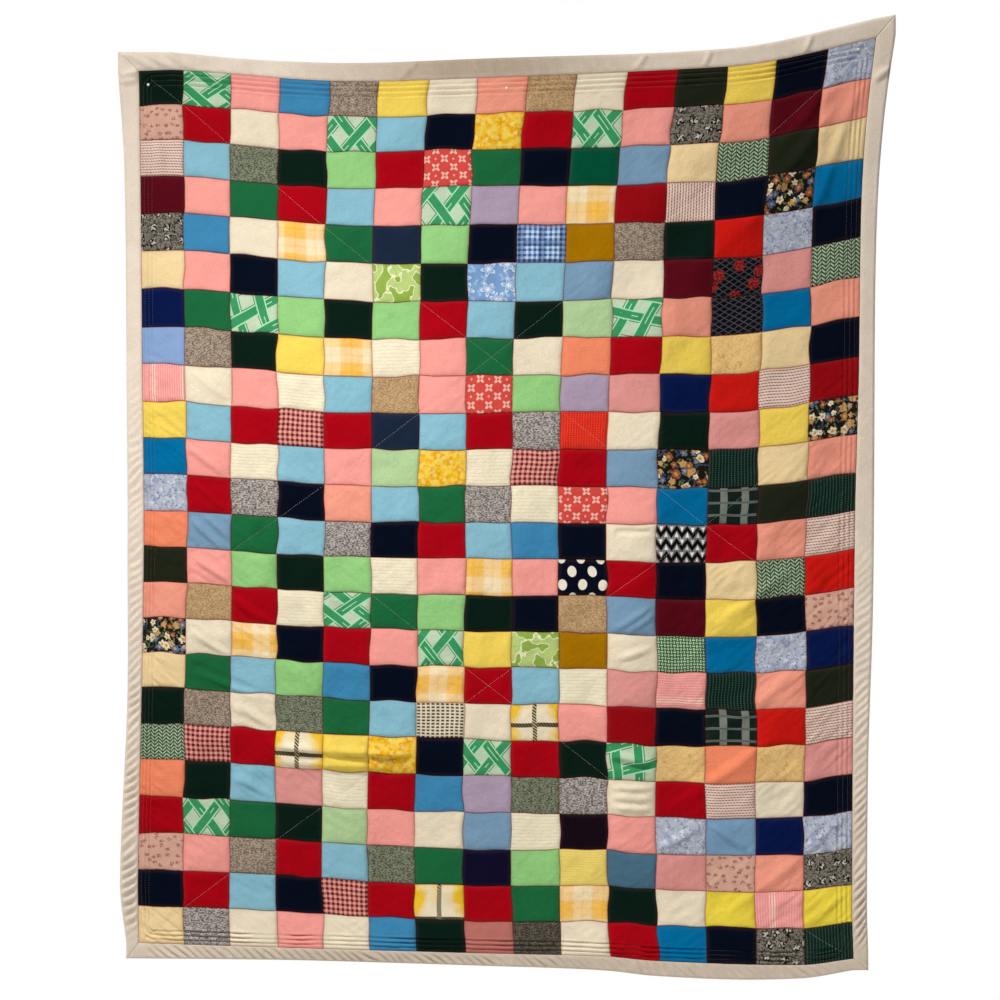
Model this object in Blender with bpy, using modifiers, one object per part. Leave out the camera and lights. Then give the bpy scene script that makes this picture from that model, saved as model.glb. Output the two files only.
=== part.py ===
"""Patchwork quilt pinned up by its top edge, in metres, +Z up.

The quilt hangs in the XZ plane with its face towards -Y and its back towards the wall, which
is the plane y = 0. The origin is the middle of the top edge, at the wall.

Cloth is laid out flat first: a flat place is (across, down), measured from the top left corner
of the patchwork. hang() carries a flat place to where it lies on the hung quilt. Every sheet is
a grid over its own piece of the flat quilt, so neighbours keep the same narrow gap all along.
"""
import math

import bmesh
import bpy
from mathutils import Vector

# Flat sizes: what a maker would cut and sew.
PATCH_WIDTH = 0.1143
PATCH_HEIGHT = 0.0889
COLUMNS = 15
ROWS = 24
BORDER_WIDTH = 0.0381
CLOTH_THICKNESS = 0.004
SEAM_GAP = 0.0004

PANEL_WIDTH = COLUMNS * PATCH_WIDTH
PANEL_LENGTH = ROWS * PATCH_HEIGHT

# Grid squares over each sheet.
PANEL_SQUARES = (30, 40)
BORDER_SQUARES_WIDE = 1

# The patchwork's four hung edges. Columns: share of the way along the edge, and the edge's
# height (top, bottom) or its place across (left, right).
TOP_EDGE = (
    (0.00, -0.030),
    (0.06, -0.028),
    (0.27, -0.054),
    (0.46, -0.047),
    (0.80, -0.020),
    (0.87, -0.004),
    (1.00, 0.049),
)
BOTTOM_EDGE = (
    (0.00, -2.109),
    (0.50, -2.132),
    (0.66, -2.139),
    (0.73, -2.150),
    (0.93, -2.161),
    (1.00, -2.147),
)
LEFT_EDGE = (
    (0.00, -0.878),
    (0.12, -0.874),
    (0.30, -0.870),
    (0.55, -0.865),
    (0.93, -0.878),
    (1.00, -0.875),
)
RIGHT_EDGE = (
    (0.00, 0.883),
    (0.09, 0.859),
    (0.18, 0.847),
    (0.35, 0.841),
    (0.52, 0.831),
    (0.94, 0.823),
    (1.00, 0.826),
)

# How wide each border looks once hung, where it stretches or draws up.
# Columns: share of the way along the edge, width.
TOP_BORDER = (
    (0.00, 0.045),
    (0.12, 0.038),
    (0.25, 0.043),
    (0.50, 0.046),
    (0.72, 0.042),
    (0.87, 0.051),
    (1.00, 0.056),
)
BOTTOM_BORDER = (
    (0.00, 0.038),
    (0.13, 0.033),
    (0.25, 0.030),
    (0.55, 0.032),
    (0.82, 0.038),
    (1.00, 0.028),
)
LEFT_BORDER = (
    (0.00, 0.050),
    (0.12, 0.038),
    (0.55, 0.039),
    (0.72, 0.034),
    (0.93, 0.043),
    (1.00, 0.031),
)
RIGHT_BORDER = (
    (0.00, 0.047),
    (0.06, 0.043),
    (0.20, 0.038),
    (0.33, 0.037),
    (0.50, 0.045),
    (0.62, 0.045),
    (0.78, 0.037),
    (1.00, 0.036),
)

# The weight of the cloth draws the upper rows long, so the middle rows sit low. The right side,
# pinned highest, carries more of it. The columns crowd to the left of the middle.
ROW_DROP_LEFT = 0.012
ROW_DROP_RIGHT = 0.031
COLUMN_CROWD_ENDS = 0.013
COLUMN_CROWD_MIDDLE = 0.024

# Soft folds that stand off the wall. Columns: start column and row, end column and row (counted
# in patches from the top left corner), half width, height.
FOLDS = (
    (15.0, 0.5, 10.0, 8.0, 0.075, 0.016),
    (13.2, 0.4, 8.8, 6.5, 0.060, 0.010),
    (11.0, 5.0, 10.9, 14.0, 0.080, 0.010),
    (10.7, 10.5, 10.5, 22.0, 0.080, 0.015),
    (0.7, 7.0, 2.8, 15.0, 0.055, 0.012),
    (2.0, 12.0, 5.0, 21.5, 0.060, 0.010),
    (0.5, 13.0, 1.6, 22.5, 0.050, 0.008),
    (2.2, 18.3, 7.0, 18.5, 0.040, 0.012),
    (14.4, 8.0, 12.4, 15.5, 0.060, 0.008),
    (14.8, 15.0, 11.0, 22.0, 0.060, 0.010),
    (6.6, 1.0, 7.0, 15.0, 0.110, 0.007),
    (3.5, 1.5, 4.5, 11.0, 0.090, 0.006),
    (-0.3, 23.8, 15.3, 23.9, 0.070, 0.010),
)
LEAN_OFF_WALL = 0.010

# The three pins, in patches across and down. Each holds the cloth flat on the wall around it.
PINS = (
    ("pin_left", 0.20, 0.39),
    ("pin_middle", 7.61, 0.31),
    ("pin_right", 14.67, 0.20),
)
PIN_FLAT_RADIUS = 0.085
PIN_FADE_RADIUS = 0.210
PIN_HEAD_RADIUS = 0.0036
PIN_HEAD_HEIGHT = 0.0028
PIN_SHANK_RADIUS = 0.0006
PIN_DEPTH_IN_WALL = 0.010
PIN_POINT_LENGTH = 0.002
PIN_CLEARANCE = 0.0003
PIN_DOME_STEPS = 5
PIN_SIDES = 12

# Colours, as linear RGB.
PATCHWORK_COLOUR = (0.30, 0.12, 0.11, 1.0)
BORDER_COLOUR = (0.75, 0.63, 0.47, 1.0)
PIN_COLOUR = (0.80, 0.80, 0.78, 1.0)


def clear_scene():
    for old in list(bpy.data.objects):
        bpy.data.objects.remove(old, do_unlink=True)


def new_collection(name):
    collection = bpy.data.collections.new(name)
    bpy.context.scene.collection.children.link(collection)
    return collection


def new_material(name, colour, roughness, metallic=0.0):
    material = bpy.data.materials.new(name)
    material.use_nodes = True
    shader = material.node_tree.nodes["Principled BSDF"]
    shader.inputs["Base Color"].default_value = colour
    shader.inputs["Roughness"].default_value = roughness
    shader.inputs["Metallic"].default_value = metallic
    return material


def ease(share):
    """A slow start and a slow finish between 0 and 1."""
    share = min(max(share, 0.0), 1.0)
    return share * share * (3.0 - 2.0 * share)


def read_table(table, share):
    """The value at a share of the way along, on a smooth curve through the table's rows."""
    last = len(table) - 1
    row = 0
    while row < last - 1 and share > table[row + 1][0]:
        row += 1
    start, low = table[row]
    end, high = table[row + 1]

    def slope(index):
        before = table[max(index - 1, 0)]
        after = table[min(index + 1, last)]
        return (after[1] - before[1]) / (after[0] - before[0])

    length = end - start
    part = (share - start) / length
    rest = 1.0 - part
    return (
        low * rest * rest * (1.0 + 2.0 * part)
        + high * part * part * (3.0 - 2.0 * part)
        + slope(row) * length * part * rest * rest
        - slope(row + 1) * length * part * part * rest
    )


def fold_height(flat):
    """How far the soft folds lift the cloth here. Each fold fades out towards its two ends."""
    height = 0.0
    for start_column, start_row, end_column, end_row, half_width, lift in FOLDS:
        start = Vector((start_column * PATCH_WIDTH, start_row * PATCH_HEIGHT))
        end = Vector((end_column * PATCH_WIDTH, end_row * PATCH_HEIGHT))
        run = end - start
        share = min(max((flat - start).dot(run) / run.length_squared, 0.0), 1.0)
        distance = (flat - start - run * share).length
        fade = 1.0 - abs(2.0 * share - 1.0) ** 3
        height += lift * fade * math.exp(-((distance / half_width) ** 2))
    return height


def pinned(flat):
    """0 where a pin presses the cloth to the wall, 1 well away from every pin."""
    freedom = 1.0
    for name, column, row in PINS:
        distance = (flat - Vector((column * PATCH_WIDTH, row * PATCH_HEIGHT))).length
        freedom *= ease((distance - PIN_FLAT_RADIUS) / (PIN_FADE_RADIUS - PIN_FLAT_RADIUS))
    return freedom


def hang(flat):
    """Where a flat place on the quilt's back lies once the quilt hangs."""
    inner = Vector((min(max(flat.x, 0.0), PANEL_WIDTH), min(max(flat.y, 0.0), PANEL_LENGTH)))
    across = inner.x / PANEL_WIDTH
    down = inner.y / PANEL_LENGTH
    belly = math.sin(math.pi * down)

    left = read_table(LEFT_EDGE, down)
    right = read_table(RIGHT_EDGE, down)
    crowd = COLUMN_CROWD_ENDS + (COLUMN_CROWD_MIDDLE - COLUMN_CROWD_ENDS) * belly
    x = left + (right - left) * across - crowd * (1.0 - abs(2.0 * across - 1.0) ** 3)

    top = read_table(TOP_EDGE, across)
    bottom = read_table(BOTTOM_EDGE, across)
    drop = ROW_DROP_LEFT + (ROW_DROP_RIGHT - ROW_DROP_LEFT) * across
    z = top + (bottom - top) * down - drop * belly

    outside = flat - inner
    side_border = read_table(RIGHT_BORDER if outside.x > 0.0 else LEFT_BORDER, down)
    end_border = read_table(BOTTOM_BORDER if outside.y > 0.0 else TOP_BORDER, across)
    x += outside.x / BORDER_WIDTH * side_border
    z -= outside.y / BORDER_WIDTH * end_border

    relief = (LEAN_OFF_WALL * down + fold_height(flat)) * pinned(flat)
    return Vector((x, -relief, z))


def cloth_solid(name, corners, squares, material, collection):
    """A closed sheet over a four-cornered piece of the flat quilt, thickened towards its face."""
    top_left, top_right, bottom_right, bottom_left = (Vector(corner) for corner in corners)
    bm = bmesh.new()
    bmesh.ops.create_grid(bm, x_segments=squares[0], y_segments=squares[1], size=0.5)
    for vert in bm.verts:
        across = vert.co.x + 0.5
        down = 0.5 - vert.co.y
        upper = top_left.lerp(top_right, across)
        lower = bottom_left.lerp(bottom_right, across)
        vert.co = hang(upper.lerp(lower, down))
    bmesh.ops.triangulate(bm, faces=bm.faces[:])
    made = bmesh.ops.extrude_face_region(bm, geom=bm.faces[:])
    face_verts = [item for item in made["geom"] if isinstance(item, bmesh.types.BMVert)]
    bmesh.ops.translate(bm, verts=face_verts, vec=(0.0, -CLOTH_THICKNESS, 0.0))
    bmesh.ops.recalc_face_normals(bm, faces=bm.faces[:])
    mesh = bpy.data.meshes.new(name)
    bm.to_mesh(mesh)
    bm.free()
    mesh.materials.append(material)
    sheet = bpy.data.objects.new(name, mesh)
    collection.objects.link(sheet)
    return sheet


def patchwork_corners():
    half = SEAM_GAP / 2
    return (
        (half, half),
        (PANEL_WIDTH - half, half),
        (PANEL_WIDTH - half, PANEL_LENGTH - half),
        (half, PANEL_LENGTH - half),
    )


def border_corners(side):
    """Four corners of a border strip, mitred at both ends, in the order of cloth_solid."""
    near = SEAM_GAP / 2
    mitre = near * math.sqrt(2.0)
    far = BORDER_WIDTH
    west_near, west_far = mitre - near, mitre - far
    east_near, east_far = PANEL_WIDTH + near - mitre, PANEL_WIDTH + far - mitre
    south_near, south_far = PANEL_LENGTH + near - mitre, PANEL_LENGTH + far - mitre
    strips = {
        "border_top": (
            (west_far, -far),
            (east_far, -far),
            (east_near, -near),
            (west_near, -near),
        ),
        "border_bottom": (
            (west_near, PANEL_LENGTH + near),
            (east_near, PANEL_LENGTH + near),
            (east_far, PANEL_LENGTH + far),
            (west_far, PANEL_LENGTH + far),
        ),
        "border_left": (
            (-far, west_far),
            (-near, west_near),
            (-near, south_near),
            (-far, south_far),
        ),
        "border_right": (
            (PANEL_WIDTH + near, west_near),
            (PANEL_WIDTH + far, west_far),
            (PANEL_WIDTH + far, south_far),
            (PANEL_WIDTH + near, south_near),
        ),
    }
    return strips[side]


def pin_profile():
    """Half outline of a pin from the crown of its head to its point, the head at the top."""
    rim = CLOTH_THICKNESS + PIN_CLEARANCE
    points = []
    for step in range(PIN_DOME_STEPS + 1):
        angle = math.radians(90.0) * step / PIN_DOME_STEPS
        radius = PIN_HEAD_RADIUS * math.sin(angle)
        points.append((radius, 0.0, rim + PIN_HEAD_HEIGHT * math.cos(angle)))
    points.append((PIN_SHANK_RADIUS, 0.0, rim))
    points.append((PIN_SHANK_RADIUS, 0.0, PIN_POINT_LENGTH - PIN_DEPTH_IN_WALL))
    points.append((0.0, 0.0, -PIN_DEPTH_IN_WALL))
    return points


def make_pin(name, place, material, collection):
    """A domed pin, turned about its shank and set square to the wall."""
    points = pin_profile()
    edges = [(index, index + 1) for index in range(len(points) - 1)]
    mesh = bpy.data.meshes.new(name)
    mesh.from_pydata(points, edges, [])
    mesh.materials.append(material)
    pin = bpy.data.objects.new(name, mesh)
    collection.objects.link(pin)
    pin.location = place
    pin.rotation_euler = (math.radians(90.0), 0.0, 0.0)
    turn = pin.modifiers.new("Turn", "SCREW")
    turn.axis = "Z"
    turn.angle = math.radians(360.0)
    turn.steps = PIN_SIDES
    turn.render_steps = PIN_SIDES
    turn.use_merge_vertices = True
    turn.merge_threshold = 0.00001
    turn.use_smooth_shade = True
    return pin


def pierce(sheet, name, place, collection):
    """Open the small hole that a pin's shank passes through."""
    bpy.ops.mesh.primitive_cylinder_add(
        vertices=PIN_SIDES,
        radius=PIN_SHANK_RADIUS + PIN_CLEARANCE,
        depth=CLOTH_THICKNESS * 6,
        location=place,
        rotation=(math.radians(90.0), 0.0, 0.0),
    )
    cutter = bpy.context.object
    cutter.name = name + "_hole_cutter"
    for owner in list(cutter.users_collection):
        owner.objects.unlink(cutter)
    collection.objects.link(cutter)
    cutter.hide_render = True
    cutter.display_type = "WIRE"
    hole = sheet.modifiers.new(cutter.name, "BOOLEAN")
    hole.operation = "DIFFERENCE"
    hole.solver = "EXACT"
    hole.object = cutter


def build():
    clear_scene()
    parts = new_collection("patchwork_quilt")
    cutters = new_collection("cutters")
    patchwork_cloth = new_material("patchwork_cloth", PATCHWORK_COLOUR, 0.9)
    border_cloth = new_material("border_cloth", BORDER_COLOUR, 0.9)
    pin_enamel = new_material("pin_enamel", PIN_COLOUR, 0.3)

    panel = cloth_solid(
        "patchwork_panel", patchwork_corners(), PANEL_SQUARES, patchwork_cloth, parts
    )
    border_squares = {
        "border_top": (PANEL_SQUARES[0], BORDER_SQUARES_WIDE),
        "border_bottom": (PANEL_SQUARES[0], BORDER_SQUARES_WIDE),
        "border_left": (BORDER_SQUARES_WIDE, PANEL_SQUARES[1]),
        "border_right": (BORDER_SQUARES_WIDE, PANEL_SQUARES[1]),
    }
    for side, squares in border_squares.items():
        cloth_solid(side, border_corners(side), squares, border_cloth, parts)

    for name, column, row in PINS:
        place = hang(Vector((column * PATCH_WIDTH, row * PATCH_HEIGHT)))
        make_pin(name, place, pin_enamel, parts)
        pierce(panel, name, place, cutters)


build()
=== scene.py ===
import math

import bmesh
import bpy
import mathutils
import numpy as np
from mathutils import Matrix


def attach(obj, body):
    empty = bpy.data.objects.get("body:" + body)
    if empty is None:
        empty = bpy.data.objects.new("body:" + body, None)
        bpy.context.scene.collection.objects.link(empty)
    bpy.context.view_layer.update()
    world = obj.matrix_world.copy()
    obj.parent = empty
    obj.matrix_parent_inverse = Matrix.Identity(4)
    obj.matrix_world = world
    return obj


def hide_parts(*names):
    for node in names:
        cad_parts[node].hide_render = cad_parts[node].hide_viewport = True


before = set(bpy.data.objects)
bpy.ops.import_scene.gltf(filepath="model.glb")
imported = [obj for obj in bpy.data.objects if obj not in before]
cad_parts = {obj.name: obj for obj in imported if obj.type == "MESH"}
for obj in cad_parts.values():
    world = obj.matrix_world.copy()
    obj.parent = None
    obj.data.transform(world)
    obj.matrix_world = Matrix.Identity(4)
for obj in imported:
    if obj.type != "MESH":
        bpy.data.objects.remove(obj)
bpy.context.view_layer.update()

# The patchwork: 24 rows of 15 double-knit patches, 4.5 by 3.5 inches once sewn. The patches of a
# row are joined end to end first and the rows are then sewn together, so each row is a piece.
# A backing is held to it by stitching on the diagonals and in three lines inside the edge.
PATCH_WIDTH = 0.1143
PATCH_HEIGHT = 0.0889
COLUMNS = 15
ROWS = 24
BORDER_WIDTH = 0.0381
PANEL_WIDTH = COLUMNS * PATCH_WIDTH
PANEL_LENGTH = ROWS * PATCH_HEIGHT

# Where the patchwork's edges hang: share of the way along, and height or place across.
TOP_EDGE = ((0.00, -0.030), (0.06, -0.028), (0.27, -0.054), (0.46, -0.047), (0.80, -0.020),
            (0.87, -0.004), (1.00, 0.049))
BOTTOM_EDGE = ((0.00, -2.109), (0.50, -2.132), (0.66, -2.139), (0.73, -2.150), (0.93, -2.161),
               (1.00, -2.147))
LEFT_EDGE = ((0.00, -0.878), (0.12, -0.874), (0.30, -0.870), (0.55, -0.865), (0.93, -0.878),
             (1.00, -0.875))
RIGHT_EDGE = ((0.00, 0.883), (0.09, 0.859), (0.18, 0.847), (0.35, 0.841), (0.52, 0.831),
              (0.94, 0.823), (1.00, 0.826))

# How wide each border hangs: share of the way along, width.
TOP_BORDER = ((0.00, 0.045), (0.12, 0.038), (0.25, 0.043), (0.50, 0.046), (0.72, 0.042),
              (0.87, 0.045), (1.00, 0.047))
BOTTOM_BORDER = ((0.00, 0.038), (0.13, 0.033), (0.25, 0.030), (0.55, 0.032), (0.82, 0.038),
                 (1.00, 0.028))
LEFT_BORDER = ((0.00, 0.050), (0.12, 0.038), (0.55, 0.039), (0.72, 0.034), (0.93, 0.043),
               (1.00, 0.031))
RIGHT_BORDER = ((0.00, 0.047), (0.06, 0.043), (0.20, 0.038), (0.33, 0.037), (0.50, 0.045),
                (0.62, 0.045), (0.78, 0.037), (1.00, 0.036))

# The top right corner's border turns up, the rows sag between their ends, and the columns
# crowd to the left. The foot of the quilt leans a little off the wall.
CORNER_RISE = 0.235
ROW_DROP_LEFT = 0.012
ROW_DROP_RIGHT = 0.031
COLUMN_CROWD_ENDS = 0.013
COLUMN_CROWD_MIDDLE = 0.024
LEAN_OFF_WALL = 0.010

# Soft folds: start column and row, end column and row, half width, height off the wall.
FOLDS = (
    (15.0, 0.5, 10.0, 8.0, 0.075, 0.016),
    (13.2, 0.4, 8.8, 6.5, 0.060, 0.010),
    (11.0, 5.0, 10.9, 14.0, 0.080, 0.010),
    (10.7, 10.5, 10.5, 22.0, 0.080, 0.015),
    (0.7, 7.0, 2.8, 15.0, 0.055, 0.012),
    (2.0, 12.0, 5.0, 21.5, 0.060, 0.010),
    (0.5, 13.0, 1.6, 22.5, 0.050, 0.008),
    (2.2, 18.3, 7.0, 18.5, 0.040, 0.012),
    (14.4, 8.0, 12.4, 15.5, 0.060, 0.008),
    (14.8, 15.0, 11.0, 22.0, 0.060, 0.010),
    (6.6, 1.0, 7.0, 15.0, 0.110, 0.007),
    (3.5, 1.5, 4.5, 11.0, 0.090, 0.006),
    (-0.3, 23.8, 15.3, 23.9, 0.070, 0.010),
)
# The pins: node, column, row. The cloth lies flat on the wall around each of them.
PINS = (("pin_left", 0.20, 0.39), ("pin_middle", 7.61, 0.31), ("pin_right", 14.67, 0.20))
PIN_FLAT_RADIUS = 0.085
PIN_FADE_RADIUS = 0.210
# The cloth's face eases off from REACH_SOFT and never stands further out than REACH.
REACH_SOFT = 0.032
REACH = 0.040

# Seams were never sewn dead straight. Each drift is a broad pull on them: its
# column and row, how many columns and rows it reaches, and millimetres to the right or down.
COLUMN_DRIFTS = (
    (1.5, 0.0, 2.0, 9.0, -8),
    (12.0, 0.0, 3.5, 8.0, 7),
    (9.0, 10.0, 1.8, 5.0, -8),
    (6.0, 24.0, 1.5, 6.0, -7),
    (13.0, 17.0, 1.5, 12.0, 6),
)
ROW_DRIFTS = (
    (1.0, 4.0, 4.0, 3.0, -13),
    (0.5, 18.0, 4.5, 4.0, -12),
    (7.0, 22.0, 3.0, 3.0, 12),
    (7.0, 2.5, 3.0, 1.6, -9),
)
SEAM_WAVE = 0.0032
SEAM_JOG = 0.0012
MILLIMETRE = 0.001
chance = np.random.default_rng(1974)
JOG = chance.uniform(-SEAM_JOG, SEAM_JOG, (ROWS, 2, COLUMNS + 1))
JOG[:, :, (0, COLUMNS)] = 0.0


def along(table, share):
    """Heights on a smooth curve through a table's rows."""
    stops, values = np.array(table).T
    slopes = np.empty_like(values)
    slopes[1:-1] = (values[2:] - values[:-2]) / (stops[2:] - stops[:-2])
    slopes[0] = (values[1] - values[0]) / (stops[1] - stops[0])
    slopes[-1] = (values[-1] - values[-2]) / (stops[-1] - stops[-2])
    row = np.clip(np.searchsorted(stops, share) - 1, 0, len(stops) - 2)
    length = stops[row + 1] - stops[row]
    part = (share - stops[row]) / length
    rest = 1.0 - part
    return (
        values[row] * rest * rest * (1.0 + 2.0 * part)
        + values[row + 1] * part * part * (3.0 - 2.0 * part)
        + slopes[row] * length * part * rest * rest
        - slopes[row + 1] * length * part * part * rest
    )


def ridge(x, y, folds):
    """Height of soft folds, each fading out towards its two ends."""
    height = np.zeros_like(x)
    for start_column, start_row, end_column, end_row, half_width, lift in folds:
        start_x, start_y = start_column * PATCH_WIDTH, start_row * PATCH_HEIGHT
        run_x = end_column * PATCH_WIDTH - start_x
        run_y = end_row * PATCH_HEIGHT - start_y
        share = ((x - start_x) * run_x + (y - start_y) * run_y) / (run_x ** 2 + run_y ** 2)
        share = np.clip(share, 0.0, 1.0)
        distance = np.hypot(x - start_x - run_x * share, y - start_y - run_y * share)
        fade = 1.0 - abs(2.0 * share - 1.0) ** 3
        height += lift * fade * np.exp(-((distance / half_width) ** 2))
    return height


def ease(share):
    """Goes from 0 to 1 with a soft start and a soft end."""
    share = np.clip(share, 0.0, 1.0)
    return share * share * (3.0 - 2.0 * share)


def hang(x, y):
    """Where flat places on the quilt's back lie on the wall: across, off the wall, up."""
    inner_x = np.clip(x, 0.0, PANEL_WIDTH)
    inner_y = np.clip(y, 0.0, PANEL_LENGTH)
    across = inner_x / PANEL_WIDTH
    down = inner_y / PANEL_LENGTH
    belly = np.sin(math.pi * down)
    left = along(LEFT_EDGE, down)
    right = along(RIGHT_EDGE, down)
    crowd = COLUMN_CROWD_ENDS + (COLUMN_CROWD_MIDDLE - COLUMN_CROWD_ENDS) * belly
    place = left + (right - left) * across - crowd * (1.0 - abs(2.0 * across - 1.0) ** 3)
    top = along(TOP_EDGE, across)
    bottom = along(BOTTOM_EDGE, across)
    drop = ROW_DROP_LEFT + (ROW_DROP_RIGHT - ROW_DROP_LEFT) * across
    up = top + (bottom - top) * down - drop * belly
    side = np.where(x > inner_x, along(RIGHT_BORDER, down), along(LEFT_BORDER, down))
    end = np.where(y > inner_y, along(BOTTOM_BORDER, across), along(TOP_BORDER, across))
    place = place + (x - inner_x) / BORDER_WIDTH * side
    up = up - (y - inner_y) / BORDER_WIDTH * end
    up = up + np.maximum(x - PANEL_WIDTH, 0.0) * CORNER_RISE * np.clip(1.0 - 8.0 * down, 0.0, 1.0)
    off = LEAN_OFF_WALL * down + ridge(x, y, FOLDS)
    for _, column, row in PINS:
        distance = np.hypot(x - column * PATCH_WIDTH, y - row * PATCH_HEIGHT)
        off = off * ease((distance - PIN_FLAT_RADIUS) / (PIN_FADE_RADIUS - PIN_FLAT_RADIUS))
    return place, off, up


def on_wall(x, y, thickness, front):
    """Places in the room for flat places on the quilt's face or back."""
    across, off, up = hang(x, y)
    return np.stack((across, -settle(off + thickness * front), up), axis=-1)


def settle(off):
    """Keeps the cloth from standing further than REACH off the wall, easing it in."""
    over = np.maximum(off - REACH_SOFT, 0.0) / (REACH - REACH_SOFT)
    return np.minimum(off, REACH_SOFT) + (REACH - REACH_SOFT) * (1.0 - np.exp(-over))


# The cloth's own face: puffed patches, seams drawn in, stitched lines and creases.
CLOTH_AT_SEAM = 0.0022
PATCH_PUFF = 0.0024
PUFF_SHOULDER = 0.0060
SWELL, SWELL_SIZE = 0.0028, 0.062
SMALL_SWELL, SMALL_SWELL_SIZE = 0.0008, 0.024
PUCKER, PUCKER_SIZE = 0.0005, 0.007
WRINKLE, WRINKLE_SIZE = 0.0034, 0.0120
# Start column and row, end column and row of each straight line of quilting.
QUILTING_LINES = ((0, 0, 15, 15), (0, 9, 15, 24), (15, 0, 0, 15), (15, 9, 0, 24))
TUCK_SPACING = {"left": 0.0096, "right": 0.0112, "top": 0.0125, "bottom": 0.0108}
TUCK_LINES = (1.0, 2.0, 3.0)
TUCK_CORNER = 4.0
TUCK_WIDTH = 0.24
QUILTING_DEPTH, QUILTING_WIDTH = 0.0008, 0.0036
TOP_TUCK, BOTTOM_TUCK, SIDE_TUCK = 0.0020, 0.0030, 0.0014
# Sharp creases: start column and row, end column and row, half width, height before CREASE_LIFT.
CREASE_LIFT = 2.2
CREASES = (
    (1.05, 12.15, 1.75, 12.95, 0.0070, 0.0042),
    (1.40, 12.05, 1.98, 12.70, 0.0060, 0.0036),
    (1.10, 13.20, 1.95, 13.85, 0.0080, 0.0036),
    (1.05, 13.60, 1.60, 14.00, 0.0060, -0.0028),
    (1.05, 15.25, 1.95, 15.90, 0.0080, 0.0036),
    (1.10, 16.15, 2.60, 16.85, 0.0070, -0.0044),
    (1.15, 16.35, 2.70, 17.10, 0.0080, 0.0038),
    (1.10, 8.10, 1.90, 8.90, 0.0090, 0.0026),
    (1.05, 10.20, 1.90, 10.95, 0.0080, 0.0030),
    (1.15, 11.15, 1.85, 11.90, 0.0070, 0.0032),
    (2.10, 17.20, 2.90, 17.85, 0.0080, 0.0038),
    (2.05, 19.20, 2.95, 19.80, 0.0080, 0.0034),
    (2.10, 14.30, 2.95, 15.00, 0.0090, 0.0026),
    (2.95, 18.47, 6.05, 18.60, 0.0060, -0.0060),
    (2.90, 18.33, 5.90, 18.46, 0.0090, 0.0080),
    (2.95, 18.78, 5.60, 18.84, 0.0110, 0.0044),
    (10.05, 18.35, 10.95, 18.48, 0.0080, 0.0046),
    (10.05, 18.55, 10.95, 18.62, 0.0060, -0.0040),
    (10.05, 19.25, 10.95, 19.18, 0.0070, 0.0034),
    (10.05, 19.52, 10.95, 19.48, 0.0070, 0.0034),
    (10.05, 19.80, 10.95, 19.78, 0.0070, 0.0034),
    (10.10, 12.22, 10.95, 12.18, 0.0060, -0.0036),
    (10.10, 14.95, 10.90, 14.20, 0.0080, 0.0032),
    (10.35, 15.00, 10.98, 14.40, 0.0070, 0.0028),
    (10.10, 15.75, 10.95, 15.30, 0.0080, 0.0028),
    (12.10, 20.10, 12.90, 20.90, 0.0080, 0.0040),
    (11.05, 20.90, 11.90, 20.20, 0.0090, 0.0034),
    (11.10, 12.90, 12.60, 11.40, 0.0140, 0.0030),
    (12.20, 14.80, 13.80, 13.20, 0.0140, 0.0030),
    (12.00, 17.90, 14.20, 15.70, 0.0150, 0.0034),
    (11.20, 19.90, 13.60, 17.60, 0.0150, 0.0034),
    (12.30, 22.80, 14.60, 20.40, 0.0150, 0.0034),
    (13.20, 23.70, 14.80, 22.20, 0.0120, 0.0030),
    (2.20, 12.20, 3.60, 14.60, 0.0140, 0.0028),
    (3.10, 15.20, 4.40, 17.60, 0.0140, 0.0030),
    (1.90, 19.60, 3.20, 22.40, 0.0150, 0.0030),
    (4.20, 19.40, 5.20, 21.60, 0.0140, 0.0026),
    (0.25, 0.70, 1.30, 2.90, 0.0130, 0.0030),
    (0.20, 0.70, 0.55, 3.20, 0.0110, 0.0026),
    (14.50, 0.60, 13.10, 2.60, 0.0180, 0.0040),
    (14.30, 1.60, 12.60, 4.40, 0.0180, 0.0036),
    (14.75, 1.20, 14.00, 4.60, 0.0140, 0.0030),
)
grain = chance.uniform(-1.0, 1.0, (512, 512))


def drift(pulls, column, row):
    """How far the seams have drifted at a place on the patches, in metres."""
    total = 0.0
    for at_column, at_row, columns, rows, millimetres in pulls:
        away = ((column - at_column) / columns) ** 2 + ((row - at_row) / rows) ** 2
        total = total + millimetres * MILLIMETRE * np.exp(-away)
    return total


def unevenness(x, y, size):
    """A smooth random height from -1 to 1 with hollows and rises of one size."""
    x, y = x / size + 40.0, y / size + 40.0
    column, row = np.floor(x).astype(int), np.floor(y).astype(int)
    share_x, share_y = ease(x - column), ease(y - row)
    column, row = column % 511, row % 511
    upper = grain[row, column] * (1 - share_x) + grain[row, column + 1] * share_x
    lower = grain[row + 1, column] * (1 - share_x) + grain[row + 1, column + 1] * share_x
    return upper * (1 - share_y) + lower * share_y


def tucks_in(x, y):
    """How many tuck spacings a place is inside the edge, with the corners turned in a curve."""
    from_side = np.minimum(x / TUCK_SPACING["left"], (PANEL_WIDTH - x) / TUCK_SPACING["right"])
    from_end = np.minimum(y / TUCK_SPACING["top"], (PANEL_LENGTH - y) / TUCK_SPACING["bottom"])
    to_side, to_end = TUCK_CORNER - from_side, TUCK_CORNER - from_end
    outside = np.hypot(np.maximum(to_side, 0.0), np.maximum(to_end, 0.0))
    return TUCK_CORNER - outside - np.minimum(np.maximum(to_side, to_end), 0.0)


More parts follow.
